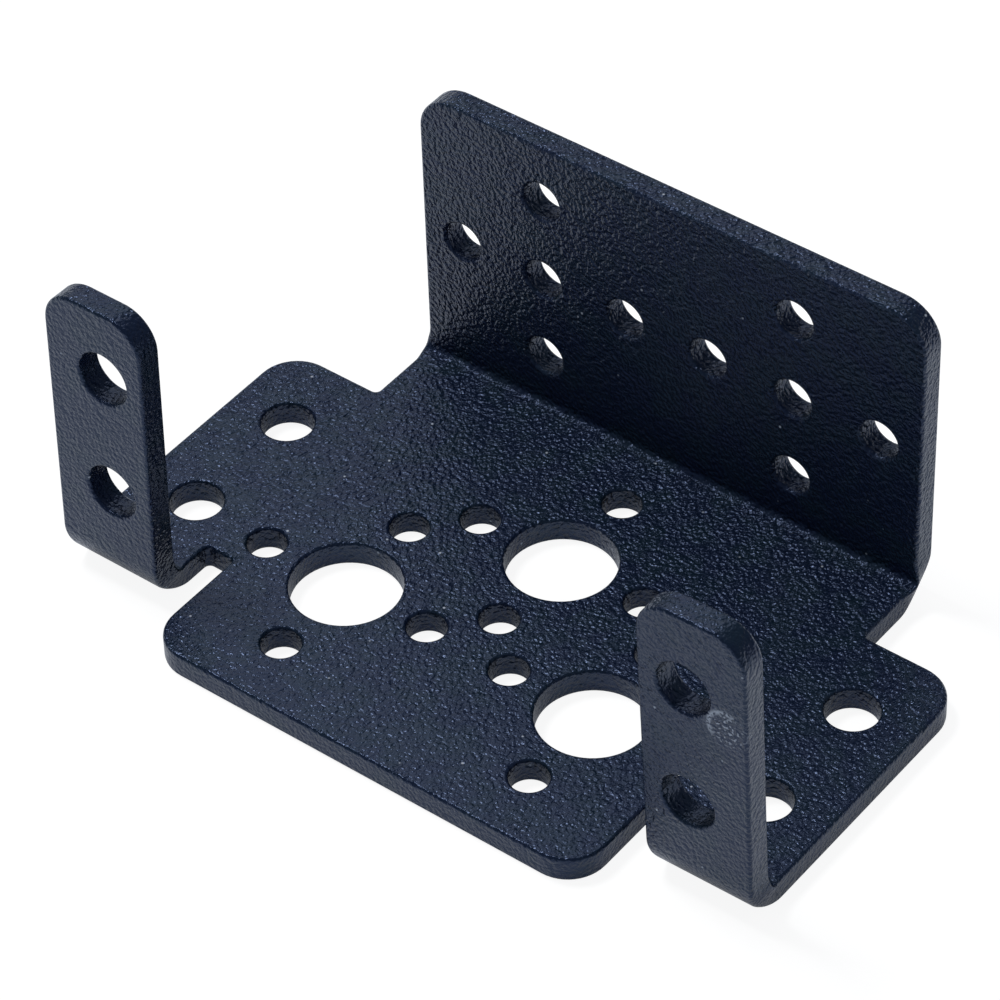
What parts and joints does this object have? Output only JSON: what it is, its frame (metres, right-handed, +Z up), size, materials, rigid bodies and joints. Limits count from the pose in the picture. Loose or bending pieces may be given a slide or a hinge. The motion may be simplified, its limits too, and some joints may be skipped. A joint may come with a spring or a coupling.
{
  "type": "motor mounting bracket",
  "caption": "Folded sheet bracket for a motor or servo: a flat base with round hole patterns and ears, a wide back flange and narrow front tabs with screw holes.",
  "frame": {"origin": "bottom centre of the bounding box, on the plane of the base's underside", "axes": "+Z up from the base, +Y towards the tall flange, X across the bracket's width"},
  "size_m": [0.058, 0.0366, 0.0253],
  "materials": {
    "powder_coat": "dark blue-black textured powder coat on sheet aluminium"
  },
  "bodies": {
    "root": {"bracket": "powder_coat"}
  },
  "joints": []
}
